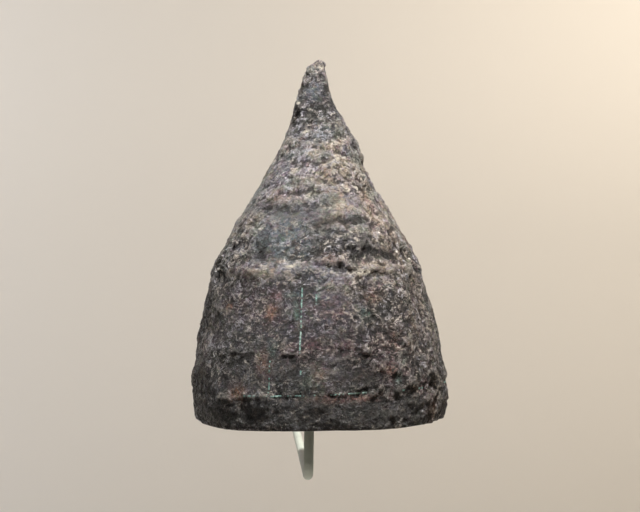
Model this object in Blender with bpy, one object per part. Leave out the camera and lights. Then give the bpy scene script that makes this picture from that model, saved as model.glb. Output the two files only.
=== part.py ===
"""Pointed iron helmet of the Assyrian kind, hung on a bent rod that comes out of a wall.

Units are metres. +Z is up, and the wearer's face looks along -Y.
The origin is the centre of the rod's flat end, where the rod leaves the wall.
From there the rod runs forward along -Y, bends up, and its tip carries the helmet inside the peak.

A place on the helmet is given by turn and up. Turn is the angle round the axis from the front,
in degrees, positive to +X. Up is the share of the helmet's height above the rim, 0 to 1.
"""

import math
from collections import namedtuple

import bmesh
import bpy
import numpy as np
from mathutils import Vector, noise

# The helmet's driving sizes
HELMET_HEIGHT = 0.305
HELMET_WIDTH = 0.217
HELMET_DEPTH = 0.232
WALL = 0.005
LIP_ROUNDING = 0.0015
SQUARENESS = 2.25
CRUST_HEIGHT = 0.0016
CRUST_LUMP = 0.030
CRUST_CLEAR_OF_EDGE = 0.009
EDGE_WAVE_REACH = 0.015
HOLLOW_TOP_UP = 0.90
HOLLOW_NARROWS_UP = 0.80
DENT_SHARE_INSIDE = 0.3

# The rod that carries it
ROD_DIAMETER = 0.0085
ARM_REACH = 0.350
BEND_RADIUS = 0.016
RIM_ABOVE_ARM = 0.0525
AXIS_BESIDE_ARM = 0.0092
SEAT_GAP = 0.0003
SEAT_ROOM = 0.0009

# The copper-alloy strips let into the iron
STRIP_WIDTH = 0.0018
STRIP_THICKNESS = 0.0009
STRIP_GAP = 0.00035
GROOVE_WALL_SLOPE = 0.0001
RIM_RING_HEIGHT = 0.0288
RIM_RING_RISE = 0.0035
RIM_RING_RISE_SPREAD = 0.0173
IRON_BETWEEN_STRIPS = 0.0012

# How finely the shell is divided
COLUMNS = 60
OUTER_ROWS = 32
INNER_ROWS = 11
BEND_STEPS = 10

ARM_CENTRE = Vector((0.0, 0.0, 0.0))
AXIS = Vector((AXIS_BESIDE_ARM, -ARM_REACH, RIM_ABOVE_ARM))

Section = namedtuple("Section", "up half_width shift_right half_depth shift_back")

# Half sizes and shifts are shares of half the helmet's width or depth.
SECTIONS = [
    Section(0.000, 0.975, 0.000, 0.980, 0.000),
    Section(0.045, 0.996, 0.000, 1.000, 0.000),
    Section(0.130, 0.996, -0.004, 0.998, 0.000),
    Section(0.180, 0.975, -0.010, 0.980, 0.002),
    Section(0.250, 0.936, -0.011, 0.945, 0.004),
    Section(0.340, 0.878, -0.016, 0.885, 0.006),
    Section(0.400, 0.830, -0.020, 0.832, 0.008),
    Section(0.440, 0.800, -0.025, 0.792, 0.010),
    Section(0.475, 0.738, -0.013, 0.742, 0.010),
    Section(0.540, 0.648, -0.028, 0.640, 0.012),
    Section(0.600, 0.540, -0.020, 0.535, 0.012),
    Section(0.660, 0.440, -0.020, 0.436, 0.010),
    Section(0.750, 0.319, -0.001, 0.312, 0.006),
    Section(0.820, 0.225, -0.010, 0.220, 0.004),
    Section(0.880, 0.158, -0.023, 0.155, 0.002),
    Section(0.930, 0.117, -0.026, 0.115, 0.000),
    Section(0.960, 0.087, -0.018, 0.085, 0.000),
    Section(0.985, 0.055, -0.005, 0.052, 0.000),
]

Dent = namedtuple("Dent", "turn up half_width half_height depth")

# Half sizes are shares of the helmet's width and height, and depth a share of its wall, out being positive.
# The rows from 105 degrees round the back to -105 aren't seen in the photo and only carry the wear on.
DENTS = [
    Dent(-88, 0.875, 0.020, 0.018, 0.68),  # the small boss beside the peak
    Dent(-23, 0.494, 0.110, 0.050, -0.60),  # the broad hollow above the left brow
    Dent(-39, 0.490, 0.025, 0.040, 0.45),  # the raised edge of that hollow
    Dent(7, 0.636, 0.090, 0.045, 0.50),  # swelling halfway up the cone
    Dent(13, 0.502, 0.095, 0.040, 0.60),  # swelling above the right brow
    Dent(29, 0.462, 0.085, 0.016, -0.70),  # the overhung cleft below it
    Dent(28, 0.431, 0.120, 0.017, 0.45),  # shoulder ledge, right
    Dent(-30, 0.417, 0.140, 0.017, 0.38),  # shoulder ledge, left
    Dent(-36, 0.331, 0.115, 0.060, -0.32),  # flattened left cheek
    Dent(-82, 0.522, 0.030, 0.020, -0.60),  # notch in the left outline
    Dent(-58, 0.384, 0.025, 0.017, -0.55),  # pit behind the left brow
    Dent(53, 0.462, 0.018, 0.034, -0.50),  # split along the right edge
    Dent(58, 0.400, 0.018, 0.027, -0.42),  # the split's lower end
    Dent(21, 0.305, 0.022, 0.047, -0.45),  # slanting crack over the right cheek
    Dent(7, 0.200, 0.055, 0.011, -0.35),  # crack along the brow band
    Dent(24, 0.072, 0.100, 0.040, -0.58),  # hollow in the right rim band
    Dent(-32, 0.148, 0.115, 0.040, -0.34),  # hollow in the left brow band
    Dent(72, 0.050, 0.065, 0.040, 0.30),  # swollen corner of the rim
    Dent(105, 0.330, 0.110, 0.060, -0.40),
    Dent(122, 0.560, 0.080, 0.045, 0.46),
    Dent(150, 0.240, 0.120, 0.050, 0.36),
    Dent(165, 0.440, 0.110, 0.018, 0.42),
    Dent(-150, 0.430, 0.120, 0.018, 0.40),
    Dent(-128, 0.290, 0.100, 0.060, -0.42),
    Dent(-165, 0.600, 0.070, 0.050, 0.44),
    Dent(178, 0.130, 0.100, 0.035, -0.40),
    Dent(-108, 0.640, 0.045, 0.040, -0.36),
]

# The rim's edge: how far it hangs below or rises above level, in shares of the wall.
RimWave = namedtuple("RimWave", "turn half_angle drop")
RIM_WAVES = [
    RimWave(-48, 22, 0.34),
    RimWave(0, 26, -0.10),
    RimWave(52, 14, -0.22),
    RimWave(120, 30, 0.22),
    RimWave(-140, 34, -0.20),
]

# An upright strip's ends are shares of the helmet's height.
Strip = namedtuple("Strip", "name turn foot top")
RING_TOP_UP = (RIM_RING_HEIGHT + STRIP_WIDTH / 2 + 2 * STRIP_GAP + IRON_BETWEEN_STRIPS) / HELMET_HEIGHT
UPRIGHT_STRIPS = [
    Strip("front_inlay_left", -9.6, 0.201, 0.378),
    Strip("front_inlay_right", -3.0, 0.322, 0.356),
    Strip("panel_inlay_inner", -9.6, RING_TOP_UP, 0.187),
    Strip("panel_inlay_outer", -22.4, RING_TOP_UP, 0.187),
]

Material = namedtuple("Material", "colour roughness metallic")
CORRODED_IRON = Material((0.150, 0.135, 0.130), 0.62, 0.35)
VERDIGRIS = Material((0.260, 0.420, 0.390), 0.80, 0.10)
PAINTED_STEEL = Material((0.420, 0.430, 0.410), 0.45, 0.20)


def clear_scene():
    for obj in list(bpy.data.objects):
        bpy.data.objects.remove(obj)


def blender_material(name, look):
    """A Principled BSDF with the look's colour, roughness and metallic value."""
    material = bpy.data.materials.new(name)
    material.use_nodes = True
    shader = material.node_tree.nodes["Principled BSDF"]
    shader.inputs["Base Color"].default_value = (*look.colour, 1.0)
    shader.inputs["Roughness"].default_value = look.roughness
    shader.inputs["Metallic"].default_value = look.metallic
    return material


def smooth_column(up, name):
    """A column of SECTIONS at the heights up, on a cubic curve through its rows."""
    known_up = np.array([row.up for row in SECTIONS])
    known = np.array([getattr(row, name) for row in SECTIONS])
    slope = np.gradient(known, known_up)
    low = np.clip(np.searchsorted(known_up, up, side="right") - 1, 0, len(SECTIONS) - 2)
    step = known_up[low + 1] - known_up[low]
    t = (up - known_up[low]) / step
    rise = 3 * t**2 - 2 * t**3
    return (
        known[low] * (1 - rise)
        + known[low + 1] * rise
        + step * slope[low] * (t**3 - 2 * t**2 + t)
        + step * slope[low + 1] * (t**3 - t**2)
    )


def section_centre(up):
    """The middle of the section at up, as (x, y) from the helmet's axis."""
    return np.array(
        [
            smooth_column(up, "shift_right") * HELMET_WIDTH / 2,
            smooth_column(up, "shift_back") * HELMET_DEPTH / 2,
        ]
    )


def plain_radius(turn, up):
    """Distance of the outer wall from its section's centre, before dents and crust: a rounded oval."""
    across = smooth_column(up, "half_width") * HELMET_WIDTH / 2
    along = smooth_column(up, "half_depth") * HELMET_DEPTH / 2
    sides = np.abs(np.sin(turn) / across) ** SQUARENESS
    faces = np.abs(np.cos(turn) / along) ** SQUARENESS
    return (sides + faces) ** (-1 / SQUARENESS)


def turned_by(turn, centre_degrees):
    """Angle from a centre given in degrees, the short way round."""
    return (turn - math.radians(centre_degrees) + math.pi) % (2 * math.pi) - math.pi


def dent_depth(turn, up, radius):
    """Sum of the smooth hollows and swellings of DENTS at each point."""
    total = np.zeros_like(radius)
    for dent in DENTS:
        sideways = turned_by(turn, dent.turn) * radius / (dent.half_width * HELMET_WIDTH)
        upward = (up - dent.up) / dent.half_height
        total += dent.depth * WALL * np.exp(-(sideways**2) - upward**2)
    return total


def crust_height(turn, up, radius):
    """Coarse lumps of the corrosion crust, which fade out at the tip and at the rim's edge."""
    east, north = np.sin(turn) * radius, -np.cos(turn) * radius
    points = np.stack([east, north, up * HELMET_HEIGHT], axis=-1) / CRUST_LUMP
    lumps = np.array([noise.fractal(Vector(p), 1.0, 2.0, 2) for p in points.reshape(-1, 3)])
    fade = np.clip(radius / CRUST_LUMP, 0, 1) * np.clip(up * HELMET_HEIGHT / CRUST_CLEAR_OF_EDGE, 0, 1)
    return CRUST_HEIGHT * lumps.reshape(radius.shape) * fade


def row_height(turn, up):
    """Height above the rim. Rows near the rim ring rise to the right, and the edge itself waves."""
    height = up * HELMET_HEIGHT
    ring_share = np.exp(-(((height - RIM_RING_HEIGHT) / RIM_RING_RISE_SPREAD) ** 2))
    edge_share = np.clip(1 - height / EDGE_WAVE_REACH, 0, 1)
    height = height + RIM_RING_RISE * ring_share * np.sin(turn)
    for wave in RIM_WAVES:
        bump = np.exp(-((turned_by(turn, wave.turn) / math.radians(wave.half_angle)) ** 2))
        height = height - wave.drop * WALL * bump * edge_share
    return height


def points_at(turn, up, radius):
    """World points, one for each turn and up, at the given distance from the section's centre."""
    centre = section_centre(up)
    return np.stack(
        [
            AXIS.x + centre[0] + np.sin(turn) * radius,
            AXIS.y + centre[1] - np.cos(turn) * radius,
            AXIS.z + row_height(turn, up),
        ],
        axis=-1,
    )


def outer_points(turn, up, below=0.0):
    """Points on the crusted outer wall, or below its surface."""
    radius = plain_radius(turn, up)
    radius = radius + dent_depth(turn, up, radius) + crust_height(turn, up, radius)
    return points_at(turn, up, radius - below)


def inner_points(turn, up):
    """Points on the hollow's wall, which closes in to the seat for the rod's tip."""
    outer = plain_radius(turn, up)
    follows = outer - WALL + DENT_SHARE_INSIDE * dent_depth(turn, up, outer)
    seat = ROD_DIAMETER / 2 + SEAT_ROOM
    t = np.clip((up - HOLLOW_NARROWS_UP) / (HOLLOW_TOP_UP - HOLLOW_NARROWS_UP), 0, 1)
    closing = t * t * (3 - 2 * t)
    return points_at(turn, up, follows * (1 - closing) + seat * closing)


def half_turn(half_width):
    """The angle in radians that a half width takes up at the helmet's front."""
    return half_width / (HELMET_DEPTH / 2)


def strip_turns(strip, margin=0.0):
    """The two edges of an upright strip, or of its groove, as turns in radians."""
    half = half_turn(STRIP_WIDTH / 2 + margin)
    return math.radians(strip.turn) - half, math.radians(strip.turn) + half


def strip_ups(strip, margin=0.0):
    """The two ends of an upright strip, or of its groove, as shares of the height."""
    return strip.foot - margin / HELMET_HEIGHT, strip.top + margin / HELMET_HEIGHT


def ring_ups(margin=0.0):
    """The two edges of the rim ring, or of its groove, as shares of the height."""
    half = STRIP_WIDTH / 2 + margin
    return (RIM_RING_HEIGHT - half) / HELMET_HEIGHT, (RIM_RING_HEIGHT + half) / HELMET_HEIGHT


GROOVE_EDGES = (STRIP_GAP, STRIP_GAP + GROOVE_WALL_SLOPE)


def groove_depth(turn, up):
    """Depth of the grooves at each point of the shell: full on their floors, and none elsewhere."""
    floor = STRIP_GAP + GROOVE_WALL_SLOPE / 2
    low, high = ring_ups(floor)
    cut = (up > low) & (up < high)
    for strip in UPRIGHT_STRIPS:
        left, right = strip_turns(strip, floor)
        low, high = strip_ups(strip, floor)
        cut |= (turn > left) & (turn < right) & (up > low) & (up < high)
    return np.where(cut, STRIP_THICKNESS + STRIP_GAP, 0.0)


def with_edges(even, edges):
    """Even divisions with a groove's edges let in, and the even ones nearest to them left out."""
    edges = sorted(set(edges))
    spacing = even[1] - even[0]
    clear = [place for place in even[1:-1] if min(abs(place - edge) for edge in edges) > spacing / 4]
    return np.sort(np.array([even[0], *clear, even[-1], *edges]))


def column_turns():
    """Turns of the shell's columns in radians, from the back round to the back again."""
    edges = [turn for strip in UPRIGHT_STRIPS for margin in GROOVE_EDGES for turn in strip_turns(strip, margin)]
    return with_edges(np.linspace(-math.pi, math.pi, COLUMNS + 1), edges)[:-1]


def outer_ups():
    """Heights of the outer wall's rows, from the top one down."""
    edges = [up for margin in GROOVE_EDGES for up in ring_ups(margin)]
    edges += [up for strip in UPRIGHT_STRIPS for margin in GROOVE_EDGES for up in strip_ups(strip, margin)]
    even = np.linspace(LIP_ROUNDING / HELMET_HEIGHT, SECTIONS[-1].up, OUTER_ROWS)
    return with_edges(even, edges)[::-1]


def mesh_object(name, vertices, faces, material, smooth=True):
    mesh = bpy.data.meshes.new(name)
    mesh.from_pydata([tuple(v) for v in vertices], [], faces)
    work = bmesh.new()
    work.from_mesh(mesh)
    bmesh.ops.recalc_face_normals(work, faces=work.faces)
    work.to_mesh(mesh)
    work.free()
    if smooth:
        mesh.shade_smooth()
    mesh.materials.append(material)
    obj = bpy.data.objects.new(name, mesh)
    bpy.data.collections["assyrian_helmet"].objects.link(obj)
    return obj


def loft_faces(rows, columns, closed_rows=False):
    """Quads between neighbouring rings of points, each ring closed on itself."""
    last = rows if closed_rows else rows - 1
    return [
        (
            j * columns + i,
            j * columns + (i + 1) % columns,
            (j + 1) % rows * columns + (i + 1) % columns,
            (j + 1) % rows * columns + i,
        )
        for j in range(last)
        for i in range(columns)
    ]


def make_shell(material):
    """The hammered iron bowl: outer wall from the tip down, round the lip, and up inside to the seat."""
    turns = column_turns()
    rings = []
    for up in outer_ups():
        ups = np.full_like(turns, up)
        rings.append(outer_points(turns, ups, groove_depth(turns, ups)))
    lip_up = LIP_ROUNDING / HELMET_HEIGHT
    outside_edge = rings[-1]
    inside_edge = inner_points(turns, np.full_like(turns, lip_up))
    inward = (inside_edge - outside_edge) * LIP_ROUNDING / WALL
    below = np.array([0.0, 0.0, LIP_ROUNDING])
    rings.append(outside_edge + inward - below)
    rings.append(inside_edge - inward - below)
    for up in np.linspace(lip_up, HOLLOW_TOP_UP, INNER_ROWS):
        rings.append(inner_points(turns, np.full_like(turns, up)))
    count = len(turns)
    vertices = np.concatenate(rings)
    tip = Vector((AXIS.x, AXIS.y, AXIS.z + HELMET_HEIGHT))
    seat = seat_centre()
    faces = loft_faces(len(rings), count)
    tip_index, seat_index = len(vertices), len(vertices) + 1
    inner_start = (len(rings) - 1) * count
    for i in range(count):
        after = (i + 1) % count
        faces.append((tip_index, after, i))
        faces.append((seat_index, inner_start + i, inner_start + after))
    return mesh_object("iron_shell", [*vertices, tip, seat], faces, material)


def seat_centre():
    """The middle of the flat roof of the hollow, which rests on the rod's tip."""
    x, y = section_centre(np.array([HOLLOW_TOP_UP]))[:, 0]
    return AXIS + Vector((x, y, HOLLOW_TOP_UP * HELMET_HEIGHT))


def make_rim_ring(material):
    """A strip round the whole helmet, let in flush above the rim."""
    turns = column_turns()
    low, high = ring_ups()
    corners = [(low, STRIP_THICKNESS), (high, STRIP_THICKNESS), (high, 0.0), (low, 0.0)]
    rings = [outer_points(turns, np.full_like(turns, up), below) for up, below in corners]
    faces = loft_faces(len(rings), len(turns), closed_rows=True)
    return mesh_object("rim_inlay_ring", np.concatenate(rings), faces, material, smooth=False)


def make_upright_strip(strip, material):
    """A strip that climbs the front between two heights, let in flush."""
    left, right = strip_turns(strip)
    foot, top = strip_ups(strip)
    between = [up for up in outer_ups() if foot < up < top]
    ups = np.array([top, *between, foot])
    corners = [(left, STRIP_THICKNESS), (right, STRIP_THICKNESS), (right, 0.0), (left, 0.0)]
    edges = [outer_points(np.full_like(ups, turn), ups, below) for turn, below in corners]
    vertices = np.stack(edges, axis=1).reshape(-1, 3)
    faces = loft_faces(len(ups), len(corners))
    last = (len(ups) - 1) * len(corners)
    faces.append(tuple(range(len(corners))))
    faces.append(tuple(last + i for i in range(len(corners))))
    return mesh_object(strip.name, vertices, faces, material, smooth=False)


def rod_points():
    """The rod's centreline: the arm from the wall, the bend, and the post to the seat."""
    bend_start = -(ARM_REACH - BEND_RADIUS)
    points = [ARM_CENTRE, Vector((0, bend_start, 0))]
    for step in range(1, BEND_STEPS + 1):
        angle = math.pi / 2 * step / BEND_STEPS
        forward = BEND_RADIUS * math.sin(angle)
        lift = BEND_RADIUS * (1 - math.cos(angle))
        points.append(Vector((0, bend_start - forward, lift)))
    points.append(seat_centre() - Vector((0, 0, SEAT_GAP)))
    return points


def make_rod(material):
    """One bent steel rod with flat ends, as a poly spline with a round bevel."""
    curve = bpy.data.curves.new("stand_rod", "CURVE")
    curve.dimensions = "3D"
    curve.bevel_depth = ROD_DIAMETER / 2
    curve.bevel_resolution = 8
    curve.use_fill_caps = True
    spline = curve.splines.new("POLY")
    points = rod_points()
    spline.points.add(len(points) - 1)
    for place, point in zip(spline.points, points):
        place.co = (*point, 1.0)
    curve.materials.append(material)
    obj = bpy.data.objects.new("stand_rod", curve)
    bpy.data.collections["assyrian_helmet"].objects.link(obj)
    return obj


def main():
    clear_scene()
    collection = bpy.data.collections.new("assyrian_helmet")
    bpy.context.scene.collection.children.link(collection)
    iron = blender_material("corroded_iron", CORRODED_IRON)
    copper = blender_material("verdigris_copper_alloy", VERDIGRIS)
    steel = blender_material("painted_steel", PAINTED_STEEL)
    make_shell(iron)
    make_rim_ring(copper)
    for strip in UPRIGHT_STRIPS:
        make_upright_strip(strip, copper)
    make_rod(steel)


main()
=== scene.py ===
# %% [markdown]
# # A corroded iron helmet on its rod
# The helmet is one sheet of iron, beaten up into a tall point more than two and a half thousand
# years ago. In the ground the iron turned to a hard, flaking crust, and strips of copper alloy that
# were hammered into it turned blue-green. A bent steel rod holds it up inside the peak.
#
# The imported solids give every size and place. This file gives them their skin: a crust worked out
# as whole numpy arrays, materials made from nodes, a soft studio, and a camera.

# %% Load the frame
import math
from collections import namedtuple

import bpy
import numpy as np
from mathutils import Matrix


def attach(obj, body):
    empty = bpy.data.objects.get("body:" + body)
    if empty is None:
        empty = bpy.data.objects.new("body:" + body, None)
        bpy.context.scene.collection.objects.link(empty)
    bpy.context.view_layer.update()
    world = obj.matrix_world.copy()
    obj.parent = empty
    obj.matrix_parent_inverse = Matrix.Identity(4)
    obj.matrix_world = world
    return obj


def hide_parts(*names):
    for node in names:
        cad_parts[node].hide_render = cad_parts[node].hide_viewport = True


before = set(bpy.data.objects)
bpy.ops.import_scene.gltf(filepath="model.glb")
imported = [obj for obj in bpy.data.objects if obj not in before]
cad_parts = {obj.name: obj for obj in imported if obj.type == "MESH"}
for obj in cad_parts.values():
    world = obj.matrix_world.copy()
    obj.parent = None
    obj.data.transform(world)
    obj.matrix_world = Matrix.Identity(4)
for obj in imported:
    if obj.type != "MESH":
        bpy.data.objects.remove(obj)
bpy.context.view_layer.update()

MM = 0.001

# %% [markdown]
# Every later step asks the same questions of the solids: where is the helmet's axis, how high is its
# rim, and how big is it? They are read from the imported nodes, so that the skin follows the solids if
# they change. The axis passes through the highest vertex, which is the tip of the peak.

# %% Measure the solids
RIM_ABOVE_LOWEST = 1.5 * MM


def node_points(name):
    """All vertices of a CAD node as an array of x, y, z rows."""
    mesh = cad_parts[name].data
    flat = np.empty(len(mesh.vertices) * 3, np.float32)
    mesh.vertices.foreach_get("co", flat)
    return flat.reshape(-1, 3).astype(float)


def node_triangles(name):
    """All triangles of a CAD node as an array of three corners each."""
    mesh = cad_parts[name].data
    mesh.calc_loop_triangles()
    corners = np.empty(len(mesh.loop_triangles) * 3, np.int32)
    mesh.loop_triangles.foreach_get("vertices", corners)
    return node_points(name)[corners].reshape(-1, 3, 3)


shell_points = node_points("iron_shell")
tip = shell_points[shell_points[:, 2].argmax()]
axis_x, axis_y, tip_z = tip
shell_low, shell_high = shell_points.min(axis=0), shell_points.max(axis=0)
helmet_height = tip_z - shell_low[2]
rim_z = shell_low[2] + RIM_ABOVE_LOWEST
print(f"axis at x {axis_x:.4f}, y {axis_y:.4f}; helmet {helmet_height / MM:.1f} mm tall")

# %% [markdown]
# The camera comes early, because the marks on the iron are placed by where the photograph shows
# them. The eye was level with the shoulder of the helmet, a little to the left of the rod's line.
# A pinhole camera has one rule: a point's place in the picture is its sideways distance over its
# distance ahead, times the focal length in pixels.

# %% The camera
PICTURE_WIDTH, PICTURE_HEIGHT = 640, 512
FOCAL_PIXELS = 1440.0
SENSOR_MM = 36.0
EYE_DISTANCE = 1.230
EYE_ABOVE_RIM = 0.137
EYE_TURN = math.radians(-2.7)
AIM_PIXELS_RIGHT = 0.7

eye = np.array(
    [
        axis_x + EYE_DISTANCE * math.sin(EYE_TURN),
        axis_y - EYE_DISTANCE * math.cos(EYE_TURN),
        rim_z + EYE_ABOVE_RIM,
    ]
)
heading = EYE_TURN - math.atan(AIM_PIXELS_RIGHT / FOCAL_PIXELS)
ahead = np.array([-math.sin(heading), math.cos(heading), 0.0])
aside = np.array([math.cos(heading), math.sin(heading), 0.0])

camera_data = bpy.data.cameras.new("camera")
camera_data.sensor_width = SENSOR_MM
camera_data.lens = SENSOR_MM * FOCAL_PIXELS / PICTURE_WIDTH
camera = bpy.data.objects.new("camera", camera_data)
camera.location = eye
camera.rotation_euler = (math.pi / 2, 0.0, heading)
bpy.context.scene.collection.objects.link(camera)
bpy.context.scene.camera = camera


def in_picture(points):
    """Pixel x and y of each point: the picture's middle plus focal length times offset over distance."""
    offset = points - eye
    distance = offset @ ahead
    right = PICTURE_WIDTH / 2 + FOCAL_PIXELS * (offset @ aside) / distance
    down = PICTURE_HEIGHT / 2 - FOCAL_PIXELS * offset[..., 2] / distance
    return np.stack([right, down], axis=-1)


print("the tip falls on pixel", in_picture(tip).round(1))

# %% [markdown]
# The crust's big shape has to be the solid's own. One way would be to copy the vertices and
# subdivide them, but the solid's facets would stay. Here the solid is cut by level planes instead,
# like a loaf, and on each slice the distance from the axis to the wall is measured at evenly spaced
# turns. The result is a table of radii, rows by height and columns by turn, which is blurred a
# little so that the facets go.

# %% Slice the solid
COLUMNS = 560
ROWS = 212
OFF_THE_VERTICES = 1e-6
END_TOLERANCE = 1e-6
NEARLY_ZERO = 1e-12

turns = np.linspace(-math.pi, math.pi, COLUMNS, endpoint=False)
outward = np.stack([np.sin(turns), -np.cos(turns)], axis=-1)
shell_triangles = node_triangles("iron_shell")


def cross(a, b):
    """The flat cross product: the area between two arrows."""
    return a[..., 0] * b[..., 1] - a[..., 1] * b[..., 0]


def wall_radii(level):
    """Nearest and farthest wall from the axis at one height, at every turn.

    A triangle that straddles the level plane leaves a short line on it. A ray from the axis meets
    that line at a distance of cross(start, line) / cross(ray, line).
    """
    above = shell_triangles[:, :, 2] - (level + OFF_THE_VERTICES)
    straddles = (above.min(axis=1) < 0) & (above.max(axis=1) > 0)
    corners, above = shell_triangles[straddles], above[straddles]
    after, above_after = np.roll(corners, -1, axis=1), np.roll(above, -1, axis=1)
    crossing = above * above_after < 0
    share = np.where(crossing, above / np.where(crossing, above - above_after, 1.0), 0.0)
    places = (corners + (after - corners) * share[..., None])[..., :2] - (axis_x, axis_y)
    ends = places[crossing].reshape(-1, 2, 2)
    start, line = ends[:, 0], ends[:, 1] - ends[:, 0]
    slant = cross(outward[:, None], line[None])
    slant = np.where(np.abs(slant) < NEARLY_ZERO, NEARLY_ZERO, slant)
    distance = cross(start, line)[None] / slant
    along = cross(start[None], outward[:, None]) / slant
    meets = (along > -END_TOLERANCE) & (along < 1 + END_TOLERANCE) & (distance > 0)
    return np.where(meets, distance, np.inf).min(axis=1), np.where(meets, distance, 0).max(axis=1)


def bell_weights(spread):
    """Weights exp(-(step / spread)^2 / 2) that add up to 1, out to three spreads each way."""
    reach = int(3 * spread) + 1
    bell = np.exp(-0.5 * (np.arange(-reach, reach + 1) / spread) ** 2)
    return reach, bell / bell.sum()


def blurred(table, spread_rows, spread_columns):
    """The table averaged with bell weights, going round in turn and mirrored at top and bottom."""
    reach, bell = bell_weights(spread_rows)
    padded = np.pad(table, ((reach, reach), (0, 0)), mode="reflect", reflect_type="odd")
    table = sum(w * padded[i : i + len(table)] for i, w in enumerate(bell))
    reach, bell = bell_weights(spread_columns)
    return sum(w * np.roll(table, i - reach, axis=1) for i, w in enumerate(bell))


FIRST_ROW_ABOVE_RIM = 2.0 * MM
LAST_ROW_BELOW_TIP = 0.6 * MM
ups = np.linspace(0.0, 1.0, ROWS)
levels = rim_z + FIRST_ROW_ABOVE_RIM + ups * (
    tip_z - rim_z - FIRST_ROW_ABOVE_RIM - LAST_ROW_BELOW_TIP
)
near_far = np.array([wall_radii(level) for level in levels])
inner_near = near_far[:, 0]
outer_radius = blurred(near_far[:, 1], 1.6, 2.2)
print("radii of", ROWS, "slices, the widest", (outer_radius.max() / MM).round(1), "mm")

# %% [markdown]
# Two things are put right before the crust goes on. The tip of a cone has no width, so a blunt round
# end is drawn over it. And the crust may only be as deep as the wall allows, so the wall's thickness
# is taken from the same slices.

# %% Blunt the tip and measure the wall
TIP_RADIUS = 7.2 * MM
TIP_LENGTH = 7.0 * MM
LEAST_WALL = 1.0 * MM
THICKNESS_USED = 0.8
HOLLOW_IF_UNDER = 0.9

below_tip = (tip_z - levels)[:, None]
roundness = np.sqrt(np.clip(1 - (1 - below_tip / TIP_LENGTH) ** 2, 0, 1))
outer_radius = np.maximum(outer_radius, TIP_RADIUS * roundness * (below_tip < TIP_LENGTH))
has_hollow = inner_near < HOLLOW_IF_UNDER * outer_radius
thickness = np.where(has_hollow, outer_radius - inner_near, outer_radius)
room_inside = blurred(np.maximum(THICKNESS_USED * (thickness - LEAST_WALL), 0), 1.5, 2.0)
print("half of the wall is thicker than", (np.median(thickness[has_hollow]) / MM).round(1), "mm")

# %% [markdown]
# The rim isn't level: corrosion has eaten it higher in one place and left it lower in another. The
# solid has that wave too, so its lowest point is found for each turn, and the rows near the rim
# follow it.

# %% Follow the rim's edge
EDGE_BINS = 60
NEAR_EDGE = 4 * MM
EDGE_WAVE_REACH = 15 * MM
LIP_DROP = 1.5 * MM


def turn_of(points):
    """The turn of each point round the axis: 0 in front, growing to the right."""
    return np.arctan2(points[..., 0] - axis_x, axis_y - points[..., 1])


def by_turn(points, at_turns, summary):
    """A height for each turn: points are sorted into equal bins of turn, each bin is summed up in one
    height, and the heights are joined by straight lines."""
    bins = ((turn_of(points) + math.pi) / (2 * math.pi) * EDGE_BINS).astype(int) % EDGE_BINS
    heights = np.full(EDGE_BINS, np.nan)
    for i in np.unique(bins):
        heights[i] = summary(points[bins == i, 2])
    middles = (np.arange(EDGE_BINS) + 0.5) / EDGE_BINS * 2 * math.pi - math.pi
    known = np.isfinite(heights)
    return np.interp(at_turns, middles[known], heights[known], period=2 * math.pi)


lowest = by_turn(shell_points[shell_points[:, 2] < rim_z + NEAR_EDGE], turns, np.min)
edge = blurred(lowest[None].repeat(2, axis=0), 0.5, 8)[0] + LIP_DROP
height = levels[:, None].repeat(COLUMNS, axis=1)
height = height + np.clip(1 - (height - levels[0]) / EDGE_WAVE_REACH, 0, 1) * (edge - levels[0])
print("the rim's edge waves by", (np.ptp(edge) / MM).round(2), "mm")

# %% [markdown]
# With a radius and a height for every row and column, the smooth wall is a sheet of points. Its
# outward directions come from the steps round it and up it, and each point's pixel comes from the
# camera's rule.

# %% The smooth wall


def points_round(radius, level, at_turns):
    """Points at a radius and a height for each turn: x = axis + sin(turn) r, y = axis - cos(turn) r."""
    x, y = axis_x + np.sin(at_turns) * radius, axis_y - np.cos(at_turns) * radius
    return np.stack([x, y, level * np.ones_like(radius)], axis=-1)


def outward_directions(points):
    """The cross product of the step round the helmet and the step up it, brought to length 1."""
    round_step = np.roll(points, -1, axis=1) - np.roll(points, 1, axis=1)
    normal = np.cross(round_step, np.gradient(points, axis=0))
    return normal / np.linalg.norm(normal, axis=-1, keepdims=True)


smooth_wall = points_round(outer_radius, height, turns)
wall_normals = outward_directions(smooth_wall)
wall_pixels = in_picture(smooth_wall)
to_eye = eye - smooth_wall
faces_eye = np.sum(wall_normals * to_eye, axis=-1) / np.linalg.norm(to_eye, axis=-1)
seen_pixels = wall_pixels[faces_eye > 0, 0]
print("pixels across the front:", seen_pixels.min().round(1), "to", seen_pixels.max().round(1))

# %% [markdown]
# Corroded iron is rough at every scale, and a plain random number for each vertex would look like
# sandpaper. Gradient noise is smooth between lattice points, so layers of it at several sizes can be
# stacked: big soft lumps, blisters, and grain. The same noise cut into level steps gives the flakes,
# because scale comes off in layers of even thickness.

# %% Noise
LATTICE = 256
STRETCH_TO_ONE = 1.7
LAYER_OFFSET = 7.3


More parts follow.
